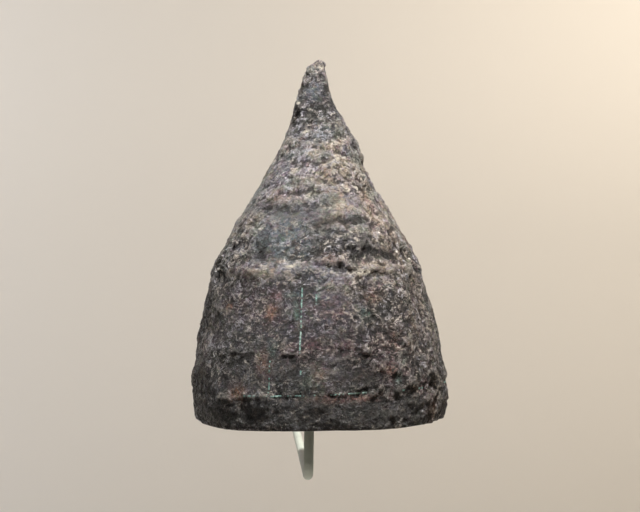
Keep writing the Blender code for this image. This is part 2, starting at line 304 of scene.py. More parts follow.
def gradient_noise(points, seed):
    """Smooth noise from about -1 to 1. Each lattice corner has a random arrow; a point gets the eight
    arrows' dot products with its offset, blended by 6t^5 - 15t^4 + 10t^3."""
    rng = np.random.default_rng(seed)
    shuffle = rng.permutation(LATTICE)
    arrows = rng.normal(size=(LATTICE, 3))
    arrows /= np.linalg.norm(arrows, axis=1, keepdims=True)
    cell = np.floor(points).astype(int)
    inside = points - cell
    fade = inside**3 * (inside * (inside * 6 - 15) + 10)
    total = np.zeros(points.shape[:-1])
    for corner in np.ndindex(2, 2, 2):
        i, j, k = np.moveaxis((cell + corner) % LATTICE, -1, 0)
        arrow = arrows[shuffle[(shuffle[(shuffle[i] + j) % LATTICE] + k) % LATTICE]]
        reach = np.sum(arrow * (inside - corner), axis=-1)
        total += reach * np.prod(np.where(corner, fade, 1 - fade), axis=-1)
    return total * STRETCH_TO_ONE


def layered_noise(points, size, layers, seed, flatten=1.0):
    """Gradient noise whose size and strength halve with each layer; flatten squeezes it in height."""
    scaled = points / size * (1.0, 1.0, flatten)
    strengths = 0.5 ** np.arange(layers)
    places = [scaled * 2**i + LAYER_OFFSET * i for i in range(layers)]
    parts = [s * gradient_noise(p, seed + i) for i, (s, p) in enumerate(zip(strengths, places))]
    return sum(parts) / strengths.sum()


def smooth_step(value, low, high):
    """0 below low, 1 above high, and 3t^2 - 2t^3 between."""
    t = np.clip((value - low) / (high - low), 0, 1)
    return t * t * (3 - 2 * t)


def rising(start, share):
    """Start where the share is 0, and 1 where it is 1, in a straight line."""
    return start + (1 - start) * share


def terraced(value, steps, slope):
    """A smooth value cut into level steps with short slopes between, as layers of scale are."""
    level = np.floor(value * steps)
    return (level + smooth_step(value * steps - level, 0.5 - slope, 0.5 + slope)) / steps


def arrow_noise(size, seed):
    """Three noises at once, as an arrow for each vertex of the wall."""
    return np.stack([gradient_noise(smooth_wall / size, seed + i) for i in range(3)], axis=-1)


warped_wall = smooth_wall + 1.5 * MM * arrow_noise(10 * MM, 13) + 0.6 * MM * arrow_noise(3.6 * MM, 23)
warped_turn, warped_height = turn_of(warped_wall), warped_wall[..., 2]
print("marks are bent by up to", (np.abs(warped_wall - smooth_wall).max() / MM).round(1), "mm")

# %% [markdown]
# Each mark on the real helmet is a row of a table: where the photograph shows it, how big it is in
# millimetres, and how strong. The place is turned into a place on the iron by looking for the vertex
# that falls nearest to that pixel on the side that faces the camera. From there on the mark is part
# of the surface, and it keeps its size and place from any side.

# %% Tables of marks in relief
Mark = namedtuple("Mark", "photo_x photo_y half_width_mm half_height_mm strength")
Ledge = namedtuple("Ledge", "photo_line rise_mm reach_mm")
Crack = namedtuple("Crack", "photo_line half_width_mm depth_mm")


def marks(*rows):
    """Marks from rows of: pixel x and y in the photograph, half width and half height in mm, strength."""
    return [Mark(*row) for row in rows]


# Relief: strength is millimetres outwards.
BUMPS = marks(
    (298, 102, 4.2, 5.2, 2.8), (309, 69, 5.0, 4.5, 3.4), (321, 66, 3.5, 3.5, 1.8),
    (322, 67, 4.0, 4.0, 0.6), (352, 236, 25.0, 10.0, 3.0), (293, 120, 6.0, 8.0, -0.7),
    (270, 272, 20.0, 6.5, 1.0), (304, 268, 16.0, 5.0, 1.1), (348, 200, 20.0, 10.0, 1.4),
    (290, 205, 30.0, 5.0, -2.0), (268, 204, 9.0, 6.0, -1.5), (300, 176, 20.0, 7.0, 1.2),
    (325, 152, 12.0, 5.0, 1.3), (304, 160, 14.0, 4.0, -1.2), (315, 66, 12.0, 7.0, 0.7),
    (335, 122, 9.0, 8.0, 1.2), (342, 120, 5.0, 8.0, 0.9), (286, 237, 26.0, 20.0, -1.2),
    (262, 248, 4.0, 8.0, -1.4), (361, 252, 14.0, 4.4, -2.8), (388, 254, 6.0, 2.4, -2.4),
    (334, 253, 7.0, 3.0, -1.4), (325, 263, 3.0, 2.5, -1.5), (350, 219, 18.0, 4.5, -2.4),
    (238, 228, 5.0, 3.5, -1.8), (217, 261, 3.0, 4.0, -1.2), (222, 277, 5.0, 6.0, -1.6),
    (220, 308, 9.0, 6.0, 1.3), (330, 160, 8.0, 8.0, 0.8), (405, 253, 3.0, 6.0, -2.2),
    (414, 265, 2.5, 6.0, -1.8), (419, 281, 2.5, 3.0, -1.2), (393, 369, 4.0, 4.0, 0.8),
    (436, 369, 5.0, 5.0, 0.9), (411, 343, 4.0, 5.0, 0.6), (405, 399, 14.0, 7.0, -0.8),
    (370, 377, 22.0, 10.0, -1.0), (240, 375, 22.0, 12.0, 0.3), (289, 295, 5.0, 2.2, 0.7),
    (333, 372, 6.0, 3.0, 0.6), (430, 405, 9.0, 12.0, 0.9),
)

LEDGES = [
    Ledge([(324, 264), (345, 266), (372, 270), (398, 272), (417, 268)], 1.5, 8.0),
    Ledge([(328, 245), (338, 247), (349, 246), (362, 247), (378, 248), (392, 251)], 1.5, 8.0),
    Ledge([(340, 190), (350, 189), (360, 186), (370, 180)], 1.2, 7.0),
    Ledge([(328, 220), (342, 214), (356, 213), (367, 218)], 0.8, 7.0),
    Ledge([(228, 354), (240, 352), (256, 353)], 0.6, 6.0),
    Ledge([(278, 354), (292, 356), (309, 356)], 0.9, 6.0),
    Ledge([(326, 363), (338, 363), (348, 359), (360, 356)], 1.1, 6.0),
    Ledge([(392, 351), (403, 347), (414, 345)], 1.0, 5.0),
    Ledge([(196, 402), (225, 399), (250, 397), (280, 397), (308, 396)], 0.8, 5.0),
    Ledge([(322, 396), (345, 393), (370, 387), (397, 391), (412, 388), (431, 381)], 0.5, 5.0),
]

CRACKS = [
    Crack([(346, 129), (351, 138), (356, 147), (361, 155)], 1.0, 1.5),
    Crack([(366, 298), (370, 308), (374, 317), (378, 324)], 0.9, 1.3),
    Crack([(255, 239), (258, 248), (264, 257)], 0.9, 1.1),
    Crack([(292, 322), (286, 325), (279, 330)], 0.7, 0.9),
    Crack([(311, 337), (316, 344), (320, 346)], 0.7, 0.9),
    Crack([(331, 368), (338, 364)], 0.8, 1.1),
    Crack([(399, 247), (404, 254), (409, 262)], 0.9, 1.4),
    Crack([(228, 268), (237, 280), (243, 292)], 0.7, 0.8),
    Crack([(300, 172), (296, 186), (299, 198)], 0.7, 0.7),
]

# Texture: strength is how much flakier the crust is here, or how much calmer below zero.
TEXTURE = marks(
    (316, 68, 14.0, 12.0, 0.8), (313, 90, 14.0, 12.0, -0.8), (330, 118, 14.0, 10.0, 0.3),
    (300, 150, 24.0, 14.0, -0.3), (338, 162, 20.0, 16.0, 0.7), (358, 145, 6.0, 20.0, 0.7),
    (310, 190, 40.0, 12.0, 0.3), (355, 187, 18.0, 8.0, 0.6), (348, 201, 24.0, 12.0, -0.9),
    (285, 235, 30.0, 22.0, -0.8), (355, 240, 34.0, 18.0, 0.7), (245, 235, 16.0, 26.0, 0.6),
    (405, 262, 16.0, 30.0, 0.6), (325, 266, 80.0, 9.0, 0.5), (240, 330, 30.0, 50.0, -0.7),
    (210, 350, 14.0, 60.0, -0.6), (330, 320, 60.0, 40.0, -0.15), (385, 320, 24.0, 30.0, 0.4),
    (390, 355, 30.0, 14.0, 0.5), (300, 355, 30.0, 6.0, 0.4), (319, 378, 10.0, 18.0, -0.9),
    (246, 368, 34.0, 16.0, -0.9), (365, 377, 24.0, 10.0, -0.6), (330, 396, 110.0, 4.0, 0.4),
    (300, 414, 110.0, 11.0, -0.7), (434, 400, 12.0, 22.0, 0.9),
)
print("marks in relief:", len(BUMPS), "bumps,", len(LEDGES), "ledges,", len(CRACKS), "cracks")

# %% [markdown]
# A mark becomes a table of numbers over the whole wall: a bell for a bump, a lip for a ledge, a
# groove for a crack. The distances are measured on the bent copy of the wall, so that nothing is a
# perfect oval or a straight line.

# %% From marks to the wall
LIP_SHADOW = 1.3 * MM
LIP_SOFTNESS = 0.9 * MM
FACING = 0.05


def place_of(photo_x, photo_y):
    """The row and column of the vertex that falls nearest to a pixel, among those that face the eye."""
    miss = np.hypot(wall_pixels[..., 0] - photo_x, wall_pixels[..., 1] - photo_y)
    return np.unravel_index(np.where(faces_eye > FACING, miss, np.inf).argmin(), miss.shape)


def spot(mark, power=2):
    """A bell: exp(-(round / width)^power - (up / height)^power), with distances along the iron."""
    row, column = place_of(mark.photo_x, mark.photo_y)
    around = (warped_turn - turns[column] + math.pi) % (2 * math.pi) - math.pi
    round_distance = np.abs(around * outer_radius[row, column]) / (mark.half_width_mm * MM)
    up_distance = np.abs(warped_height - height[row, column]) / (mark.half_height_mm * MM)
    return np.exp(-(round_distance**power) - up_distance**power)


def marked(rows):
    """The sum of a table's marks, each a bell times its strength."""
    return sum(mark.strength * spot(mark) for mark in rows)


def ledge_shape(ledge):
    """A lip along a line: proud above it, fading upwards over the reach, and cut off sharply below.
    The second table marks the strip right under the lip, where the shadow is painted dark."""
    places = [place_of(x, y) for x, y in ledge.photo_line]
    line_turn = np.array([turns[column] for row, column in places])
    line_height = np.array([height[place] for place in places])
    above = warped_height - np.interp(warped_turn, line_turn, line_height)
    end_fade = np.minimum(turns - line_turn.min(), line_turn.max() - turns) * outer_radius.max()
    broken = smooth_step(layered_noise(smooth_wall, 9 * MM, 2, seed=42), -0.35, 0.15)
    shape = rising(0.25, broken) * smooth_step(end_fade, -1 * MM, 6 * MM)[None]
    lip = np.exp(-((np.maximum(above, 0) / (ledge.reach_mm * MM)) ** 2))
    lip *= ledge.rise_mm * smooth_step(above, -LIP_SOFTNESS, LIP_SOFTNESS)
    under = np.exp(-(((above + LIP_SHADOW) / LIP_SHADOW) ** 2)) * (above < LIP_SHADOW)
    return np.stack([lip, under]) * shape


def crack_shape(crack):
    """A groove: exp(-(distance to the line / half width)^2), narrowed and widened by noise."""
    corners = np.array([smooth_wall[place_of(x, y)] for x, y in crack.photo_line])
    distance = np.full(height.shape, np.inf)
    for start, end in zip(corners[:-1], corners[1:]):
        step = end - start
        share = np.clip((warped_wall - start) @ step / (step @ step), 0, 1)
        off_line = warped_wall - start - share[..., None] * step
        distance = np.minimum(distance, np.linalg.norm(off_line, axis=-1))
    ragged = 1 + 0.5 * gradient_noise(smooth_wall / (3 * MM), seed=41)
    return np.exp(-((distance / (crack.half_width_mm * MM * ragged)) ** 2))


bump_relief = marked(BUMPS)
# The second sum is a painted shadow under each ledge's lip.
ledge_relief, shadow_under_ledges = sum(ledge_shape(ledge) for ledge in LEDGES)
crack_lines = [crack_shape(crack) for crack in CRACKS]
crack_relief = -sum(crack.depth_mm * line for crack, line in zip(CRACKS, crack_lines))
marks_relief = bump_relief + ledge_relief + crack_relief
print("the marks go from", marks_relief.min().round(1), "to", marks_relief.max().round(1), "mm")

# %% [markdown]
# Now the relief is summed, in millimetres. The flakes are only strong where a slow noise or the
# photograph says that the crust is breaking up; elsewhere it is tight. The sum is made as heights
# above the smooth wall, because the difference between those heights and their blurred copy tells
# where the surface is proud and where it is hollow. The colours use it for dust and wear with a
# painted highlight on proud grains, and for painted shade in the hollows.

# %% The crust's relief
Rough = namedtuple("Rough", "height_mm size_mm layers seed flatten bent")
ROUGH = {
    "swells": Rough(1.7, 30.0, 2, 12, 1.0, False),
    "flakes": Rough(3.4, 17.0, 2, 16, 1.1, True),
    "scales": Rough(1.8, 6.5, 2, 17, 1.1, True),
    "wrinkles": Rough(1.0, 8.0, 2, 18, 1.2, True),
    "pits": Rough(0.8, 6.0, 3, 19, 1.0, False),
    "grain": Rough(0.6, 2.9, 2, 20, 1.0, False),
}
FLAKY_EVERYWHERE, FLAKY_IN_PATCHES, FLAKY_ABOVE_SHOULDER = 0.18, 0.38, 0.18
TIP_CRUMBLE_MM = 1.6

upper_zone = smooth_step(ups, 0.36, 0.50)[:, None]
patches = smooth_step(layered_noise(smooth_wall, 34 * MM, 2, seed=11), -0.25, 0.25)
flaking = FLAKY_EVERYWHERE + FLAKY_IN_PATCHES * patches + FLAKY_ABOVE_SHOULDER * upper_zone
flaking = np.clip(flaking + marked(TEXTURE), 0, 1)
loose = rising(0.35, smooth_step(flaking, 0.0, 0.3))

noise = {
    name: layered_noise(warped_wall if r.bent else smooth_wall, r.size_mm * MM, r.layers, r.seed, r.flatten)
    for name, r in ROUGH.items()
}
shaped = {
    "swells": noise["swells"],
    "flakes": rising(0.15, flaking) * terraced(noise["flakes"], 8, 0.12),
    "scales": rising(0.25, flaking) * terraced(noise["scales"], 6, 0.18),
    "wrinkles": loose * (0.4 - np.abs(noise["wrinkles"])),
    "pits": -rising(0.3, flaking) * smooth_step(-noise["pits"], 0.28, 0.5),
    "grain": loose * noise["grain"],
}
rough_relief = sum(ROUGH[name].height_mm * table for name, table in shaped.items())

relief = rough_relief * rising(0.35, smooth_step(outer_radius, 4 * MM, 18 * MM))
relief += marks_relief * smooth_step(outer_radius, 1 * MM, 6 * MM)
crumbs = smooth_step(layered_noise(smooth_wall, 3.6 * MM, 2, seed=21), -0.15, 0.3)
relief -= TIP_CRUMBLE_MM * crumbs * smooth_step(ups, 0.92, 0.97)[:, None]
relief = np.maximum(relief, -room_inside / MM)
proud = relief - blurred(relief, 2.2, 2.2)
print("relief in mm: lowest", relief.min().round(2), "highest", relief.max().round(2))

# %% [markdown]
# The relief is laid on along the wall's own directions. The finished piece may not leave the solid's
# box, so the whole crust is sunk by as much as its proudest grain would stick out. Nowhere does it
# sink further than the wall's thickness allows.

# %% Lay the relief on the wall
SINK_TRIES, SINK_SPARE = 6, 0.02 * MM


def sunk_into_box(points, normals, lift, room):
    """The points moved out by lift less the one depth that keeps them all inside the shell's box, and
    never further in than the room there is before the inner wall."""
    sink = 0.0
    for _ in range(SINK_TRIES):
        moved = points + normals * np.maximum(lift - sink, -room)[..., None]
        over_low = (shell_low - moved.min(axis=(0, 1))).max()
        over_high = (moved.max(axis=(0, 1)) - shell_high).max()
        over = max(over_low, over_high)
        if over <= 0:
            break
        sink += over + SINK_SPARE
    return moved, sink


outer_wall, sink = sunk_into_box(smooth_wall, wall_normals, relief * MM, room_inside)
print("the crust was sunk by", round(sink / MM, 2), "mm")

# %% [markdown]
# The inner wall is measured on the same kind of slices, with fewer rows and columns, since nobody
# sees its grain. Where the crust has a deep pit, the inner wall behind it is drawn in, so that the
# two never cross.

# %% The inner wall
INNER_ROWS = 38
FIRST_INNER_ABOVE_RIM = 3 * MM
ABOVE_ROD, BELOW_SEAT = 0.3 * MM, 0.4 * MM
PIT_ROWS, PIT_COLUMNS = 4, 2
LUMP_SIZE, LUMP_HEIGHT, LUMP_MOST = 9 * MM, 0.6 * MM, 0.4 * MM

half_turns = turns[::2]
seat_z = node_points("stand_rod")[:, 2].max() + ABOVE_ROD
inner_levels = np.linspace(rim_z + FIRST_INNER_ABOVE_RIM, seat_z - BELOW_SEAT, INNER_ROWS)
inner_radius = blurred(np.array([wall_radii(level)[0] for level in inner_levels]), 0.8, 3.0)[:, ::2]


def least_nearby(table, rows, columns):
    """The least value within some rows and columns of each entry, so that a pit between two rings
    counts."""
    padded = np.pad(table, ((rows, rows), (0, 0)), mode="edge")
    table = np.minimum.reduce([padded[i : i + len(table)] for i in range(2 * rows + 1)])
    return np.minimum.reduce([np.roll(table, shift, axis=1) for shift in range(-columns, columns + 1)])


outer_reach = np.hypot(outer_wall[..., 0] - axis_x, outer_wall[..., 1] - axis_y)
nearest_row = np.abs(inner_levels[:, None] - levels[None]).argmin(axis=1)
room_for_inner = least_nearby(outer_reach, PIT_ROWS, PIT_COLUMNS)[nearest_row][:, ::2] - LEAST_WALL
drawn_in = (inner_radius - room_for_inner).max()
inner_radius = np.minimum(inner_radius, np.maximum(room_for_inner, LEAST_WALL))

inner_sheet = points_round(inner_radius, inner_levels[:, None], half_turns)
lumps = np.minimum(LUMP_HEIGHT * layered_noise(inner_sheet, LUMP_SIZE, 3, seed=30), LUMP_MOST)
lumpy_radius = inner_radius + smooth_step(inner_radius, 6 * MM, 20 * MM) * lumps
inner_wall = points_round(lumpy_radius, inner_levels[:, None], half_turns)
print("the inner wall is drawn in by up to", (drawn_in / MM).round(2), "mm under pits")

# %% [markdown]
# A piece has to be closed: outer wall, lip, inner wall, and the flat seat over the rod. All the
# pieces here are chains of rings, so one function makes them all. Towards the tip the same number of
# columns would crowd together, so halfway up each pair of columns becomes one, and again near the
# top. Where 2n points meet n points, each step is closed with three triangles.

# %% Meshes from rings


def join_rings(lower, upper):
    """Squares and triangles between two rings of vertex numbers, wound to face away from the middle."""
    if len(lower) < len(upper):
        squares, triangles = join_rings(upper, lower)
        return squares, triangles[:, ::-1]
    if len(lower) == len(upper):
        squares = np.stack([lower, np.roll(lower, -1), np.roll(upper, -1), upper], axis=1)
        return squares, np.empty((0, 3), int)
    one, two, three, next_up = lower[::2], lower[1::2], np.roll(lower[::2], -1), np.roll(upper, -1)
    fans = [(one, two, upper), (two, next_up, upper), (two, three, next_up)]
    return np.empty((0, 4), int), np.concatenate([np.stack(fan, axis=1) for fan in fans])


def mesh_from_arrays(name, vertices, squares, triangles):
    """A mesh from arrays of points, four-cornered faces and three-cornered faces."""
    corners = np.concatenate([squares.ravel(), triangles.ravel()]).astype(np.int32)
    sizes = np.concatenate([np.full(len(squares), 4), np.full(len(triangles), 3)])
    mesh = bpy.data.meshes.new(name)
    mesh.vertices.add(len(vertices))
    mesh.vertices.foreach_set("co", np.asarray(vertices, np.float32).ravel())
    mesh.loops.add(len(corners))
    mesh.loops.foreach_set("vertex_index", corners)
    mesh.polygons.add(len(sizes))
    starts = np.concatenate([[0], np.cumsum(sizes)[:-1]]).astype(np.int32)
    mesh.polygons.foreach_set("loop_start", starts)
    mesh.polygons.foreach_set("use_smooth", np.ones(len(sizes), bool))
    mesh.update(calc_edges=True)
    mesh.validate()
    return mesh


def piece_from_rings(name, rings, first_pole=None, last_pole=None):
    """A piece through a chain of rings. A pole closes its end with a fan of triangles, an end without
    one stays open, and with no poles at all the last ring joins the first one."""
    starts = np.cumsum([0] + [len(ring) for ring in rings])
    numbers = [np.arange(len(ring)) + start for ring, start in zip(rings, starts)]
    following = numbers[1:] if first_pole is not None else numbers[1:] + numbers[:1]
    joints = [join_rings(lower, upper) for lower, upper in zip(numbers, following)]
    squares, triangles = (np.concatenate(faces) for faces in zip(*joints))
    points, poles = list(rings), starts[-1]
    for pole, ring in ((first_pole, numbers[0][::-1]), (last_pole, numbers[-1])):
        if pole is not None:
            fan = np.stack([ring, np.roll(ring, -1), np.full(len(ring), poles)], axis=1)
            triangles, poles = np.concatenate([triangles, fan]), poles + 1
            points.append(np.asarray(pole)[None])
    mesh = mesh_from_arrays(name, np.concatenate(points), squares, triangles)
    piece = bpy.data.objects.new(name, mesh)
    bpy.context.scene.collection.objects.link(piece)
    return piece


print("8 points meet 4 with", len(join_rings(np.arange(8), np.arange(4))[1]), "triangles")

# %% [markdown]
# The rim of corroded sheet has no sharp edge, so the lip is a half round from the outer wall to the
# inner one. The chain of rings starts at the seat over the rod, comes down the inner wall, goes
# round the lip and climbs the outer wall to the tip.

# %% Close the skin
HALVE_AT_UP = (0.49, 0.79)
LIP_STEPS = 3
LIP_FULLNESS = 0.9
POLE_BELOW_TIP = 0.2 * MM

inner_foot = points_round(np.repeat(inner_radius[0], 2), edge, turns)
lip_rings = []
for step in range(1, LIP_STEPS + 1):
    angle = math.pi * step / (LIP_STEPS + 1)
    share = (1 - math.cos(angle)) / 2
    ring = outer_wall[0] * (1 - share) + inner_foot * share
    ring[:, 2] -= LIP_DROP * LIP_FULLNESS * math.sin(angle)
    lip_rings.append(ring)

column_steps = [1 if up < HALVE_AT_UP[0] else 2 if up < HALVE_AT_UP[1] else 4 for up in ups]
outer_rings = [outer_wall[row, ::step] for row, step in enumerate(column_steps)]
seat_pole = [*inner_wall[-1, :, :2].mean(axis=0), seat_z]
tip_pole = [axis_x, axis_y, tip_z - POLE_BELOW_TIP]
rings = [*inner_wall[::-1], *lip_rings[::-1], *outer_rings]
helmet = piece_from_rings("corroded_shell", rings, seat_pole, tip_pole)
skin = helmet.data
triangle_count = sum(len(polygon.vertices) - 2 for polygon in skin.polygons)
print("the skin has", len(skin.vertices), "vertices and", triangle_count, "triangles")

# %% [markdown]
# Colours are chosen as screen colours, which people can compare with a photograph, and turned into
# light by one function. Each kind of stain is a table of marks as well: pale mineral, chalk crumbs,
# cool grey-blue, rust, red oxide, green copper salts, dark scale and tan earth. Some pale, chalk and
# tan marks are painted light, and some dark marks are painted shade. A stain's edge is made ragged
# by noise. The photograph shows one side only, so slow noise puts the same kinds of stain all the
# way round.

# %% Stains


def linear(hex_colour):
    """A screen colour such as '#aabbcc' as linear light: ((c + 0.055) / 1.055)^2.4 above the dark toe."""
    screen = [int(hex_colour[i : i + 2], 16) / 255 for i in (1, 3, 5)]
    return (*[c / 12.92 if c <= 0.04045 else ((c + 0.055) / 1.055) ** 2.4 for c in screen], 1.0)


STAINS = {
    # In pale, the marks near x 418 to 430 at y 300 to 322 are painted light along the right edge, the long
    # marks at y 267 to 271 are painted light on the shoulder, (298, 103) is a painted highlight on the
    # nodule, and (300, 417) is a painted glint on the rim band.
    "pale": marks(
        (322, 67, 6.0, 6.0, 0.9), (298, 103, 2.6, 2.6, 1.0), (337, 163, 9.0, 9.0, 0.8),
        (324, 152, 12.0, 5.0, 0.5), (358, 186, 14.0, 5.0, 0.7), (352, 196, 30.0, 16.0, 1.1),
        (332, 276, 12.0, 10.0, 0.7), (374, 272, 14.0, 9.0, 0.9), (338, 300, 16.0, 12.0, 0.45),
        (430, 322, 28.0, 40.0, 0.4), (430, 408, 20.0, 16.0, 0.5), (203, 340, 8.0, 60.0, 0.35),
        (306, 170, 16.0, 10.0, 0.4), (300, 190, 20.0, 9.0, 0.25), (318, 267, 50.0, 7.0, 1.0),
        (380, 270, 36.0, 7.0, 1.0), (262, 271, 34.0, 6.0, 1.0), (316, 102, 30.0, 19.0, -1.0),
        (345, 242, 50.0, 12.0, -0.35), (333, 372, 7.0, 4.0, 0.6), (411, 343, 4.5, 5.5, 0.6),
        (376, 232, 14.0, 7.0, 0.4), (300, 417, 12.0, 4.0, 0.35), (292, 295, 8.0, 2.0, 0.5),
        (418, 300, 10.0, 40.0, 0.25),
    ),
    # In chalk, (298, 103) is a painted highlight on the nodule, the marks at x 291 to 313, y 408 to 424 are
    # painted glints on the rim band, and the marks along y 265 to 272 are painted light on the shoulder.
    "chalk_and_glint": marks(
        (322, 67, 3.0, 2.4, 1.0), (309, 62, 2.6, 1.8, 0.8), (298, 103, 1.9, 1.8, 1.2),
        (337, 158, 3.4, 2.0, 1.0), (334, 166, 2.6, 1.8, 0.9), (341, 169, 2.4, 1.6, 0.8),
        (347, 190, 3.6, 1.6, 0.8), (357, 187, 4.4, 1.6, 1.0), (367, 186, 2.0, 2.6, 1.0),
        (304, 131, 5.0, 1.6, 0.6), (316, 139, 4.0, 1.6, 0.6), (263, 266, 6.0, 1.8, 0.6),
        (290, 265, 7.0, 1.8, 0.7), (333, 265, 6.0, 1.8, 0.6), (362, 270, 7.0, 1.8, 0.7),
        (392, 272, 5.0, 1.8, 0.6), (291, 412, 4.0, 1.5, 0.5), (299, 408, 3.0, 1.4, 0.5),
        (313, 424, 3.0, 1.4, 0.5), (306, 418, 5.0, 1.5, 0.55), (430, 400, 2.0, 1.6, 0.7),
        (437, 411, 2.4, 1.6, 0.7), (438, 393, 2.0, 1.6, 0.6), (328, 296, 3.0, 1.6, 0.5),
        (366, 298, 3.0, 1.6, 0.35), (335, 205, 34.0, 9.0, 0.42), (335, 272, 70.0, 4.0, 0.44),
    ),
    "cool": marks(
        (312, 90, 10.0, 9.0, 0.9), (322, 134, 8.0, 6.0, 0.9), (298, 136, 9.0, 8.0, 0.4),
        (298, 318, 44.0, 56.0, 0.30), (285, 237, 30.0, 20.0, 0.75), (318, 270, 15.0, 7.0, 1.0),
        (338, 315, 12.0, 10.0, 0.35), (290, 412, 40.0, 12.0, 0.35), (328, 358, 8.0, 3.0, 0.5),
        (280, 170, 14.0, 12.0, 0.3), (300, 203, 22.0, 7.0, 0.5), (345, 320, 16.0, 14.0, 0.3),
    ),
    "rust": marks(
        (279, 259, 3.2, 2.0, 0.6), (271, 311, 5.0, 8.0, 0.8), (228, 307, 3.0, 2.5, 0.7),
        (236, 393, 8.0, 6.0, 0.75), (373, 295, 8.0, 7.0, 0.5), (393, 370, 4.0, 3.5, 1.0),
        (370, 200, 8.0, 16.0, 0.35), (352, 398, 24.0, 3.0, 0.6), (435, 405, 8.0, 14.0, 0.45),
        (262, 365, 6.0, 10.0, 0.4), (328, 258, 8.0, 4.0, 0.35), (397, 340, 10.0, 10.0, 0.35),
    ),
    "red": marks(
        (275, 295, 4.5, 4.0, 0.9), (399, 368, 13.0, 13.0, 0.6), (335, 312, 14.0, 10.0, 0.4),
        (311, 343, 6.0, 6.0, 0.5), (345, 348, 14.0, 6.0, 0.45), (295, 352, 12.0, 8.0, 0.35),
        (425, 385, 7.0, 7.0, 0.5), (350, 399, 22.0, 2.6, 0.5), (276, 196, 18.0, 5.0, 0.35),
        (340, 262, 16.0, 4.0, 0.35), (250, 300, 24.0, 18.0, 0.2), (310, 320, 30.0, 30.0, 0.10),
        (380, 350, 26.0, 18.0, 0.2),
    ),
    "green": marks(
        (285, 234, 26.0, 18.0, 0.12), (400, 377, 3.0, 5.0, 1.0), (403, 360, 5.0, 6.0, 0.5),
        (272, 350, 4.0, 8.0, 0.3), (296, 312, 2.2, 6.0, 0.8), (290, 295, 6.0, 1.8, 0.8),
        (318, 294, 2.0, 6.0, 0.4), (308, 385, 5.0, 9.0, 0.22), (365, 312, 6.0, 5.0, 0.35),
    ),
    # In dark, many marks are painted shade: the pits and the overhang at y 220 to 277, the lines under the
    # ledges at y 354 to 361, and the rim band at y 400 to 414, which faces down.
    "dark": marks(
        (323, 231, 10.0, 13.0, 0.85), (312, 250, 8.0, 6.0, 0.4), (258, 249, 11.0, 10.0, 0.6),
        (272, 212, 26.0, 7.0, 0.3), (362, 336, 26.0, 14.0, 0.45), (296, 408, 22.0, 12.0, 0.5),
        (390, 411, 22.0, 10.0, 0.5), (310, 358, 60.0, 16.0, 0.25), (284, 318, 20.0, 20.0, 0.2),
        (290, 280, 12.0, 5.0, 0.15), (363, 252, 13.0, 5.0, 0.55), (388, 254, 7.0, 3.0, 0.9),
        (340, 252, 10.0, 4.0, 0.45), (325, 263, 4.0, 3.0, 0.8), (350, 220, 17.0, 4.5, 0.75),
        (258, 249, 5.0, 11.0, 0.8), (238, 229, 6.0, 4.5, 0.8), (222, 277, 6.0, 7.0, 0.7),
        (222, 313, 8.0, 3.0, 0.6), (372, 312, 3.5, 14.0, 0.7), (405, 400, 16.0, 9.0, 0.5),
        (243, 370, 24.0, 14.0, 0.3), (290, 377, 16.0, 16.0, 0.4), (370, 376, 26.0, 10.0, 0.5),
        (260, 414, 70.0, 12.0, 0.8), (350, 414, 66.0, 12.0, 0.75), (290, 206, 30.0, 5.0, 0.4),
        (268, 204, 8.0, 6.0, 0.5), (372, 240, 14.0, 5.0, 0.4), (345, 361, 15.0, 3.5, 0.7),
        (295, 356, 14.0, 2.0, 0.7), (243, 354, 12.0, 1.6, 0.35), (315, 345, 5.0, 3.0, 0.6),
        (356, 145, 3.0, 16.0, 0.5), (300, 215, 20.0, 8.0, 0.3), (404, 254, 3.0, 9.0, 0.6),
    ),
    # In tan, (418, 300) is painted light along the right edge.
    "tan": marks(
        (319, 377, 8.0, 18.0, 0.95), (368, 205, 9.0, 22.0, 0.6), (330, 180, 24.0, 20.0, 0.3),
        (390, 262, 26.0, 10.0, 0.4), (319, 404, 8.0, 8.0, 0.4), (418, 300, 24.0, 60.0, 0.5),
        (392, 236, 20.0, 30.0, 0.4), (205, 340, 10.0, 50.0, 0.3),
    ),
}

# Where noise puts each kind all round: the patch size, then the noise values where it starts and
# where it is full.
Spread = namedtuple("Spread", "patch_mm starts full amount seed")
SPREADS = {
    "chalk_and_glint": Spread(4.0, 0.42, 0.60, 0.60, 57),
    "pale": Spread(9.0, 0.10, 0.55, 0.45, 50),
    "cool": Spread(22.0, 0.15, 0.50, 0.40, 51),
    "rust": Spread(11.0, 0.28, 0.55, 0.50, 52),
    "red": Spread(8.0, 0.25, 0.55, 0.40, 53),
    "green": Spread(6.0, 0.42, 0.60, 0.45, 54),
    "dark": Spread(18.0, 0.12, 0.50, 0.45, 55),
    "tan": Spread(26.0, 0.15, 0.50, 0.35, 56),
}
UNSEEN_SHARE = 0.8
RAGGED_SHARE = 0.9
RAGGED_SIZE = 3.5 * MM


def stain_table(kind, everywhere):
    """The sum of a kind's marks, ragged at their edges, over its noise patches, from 0 to 1."""
    spread = SPREADS[kind]
    cloud = layered_noise(smooth_wall, spread.patch_mm * MM, 3, seed=spread.seed)
    ragged = 1 + RAGGED_SHARE * layered_noise(smooth_wall, RAGGED_SIZE, 2, seed=spread.seed + 20)
    unseen = 1 - UNSEEN_SHARE * smooth_step(faces_eye, 0.0, 0.35)
    patches = spread.amount * unseen * smooth_step(cloud, spread.starts, spread.full)
    return np.clip(marked(STAINS[kind]) * ragged + everywhere + patches, 0, 1)


crumbly = smooth_step(layered_noise(warped_wall, 5 * MM, 2, seed=43), 0.28, 0.5)
crumbly *= smooth_step(flaking, 0.4, 0.9)
lower_zone = 1 - smooth_step(ups, 0.05, 0.40)[:, None]
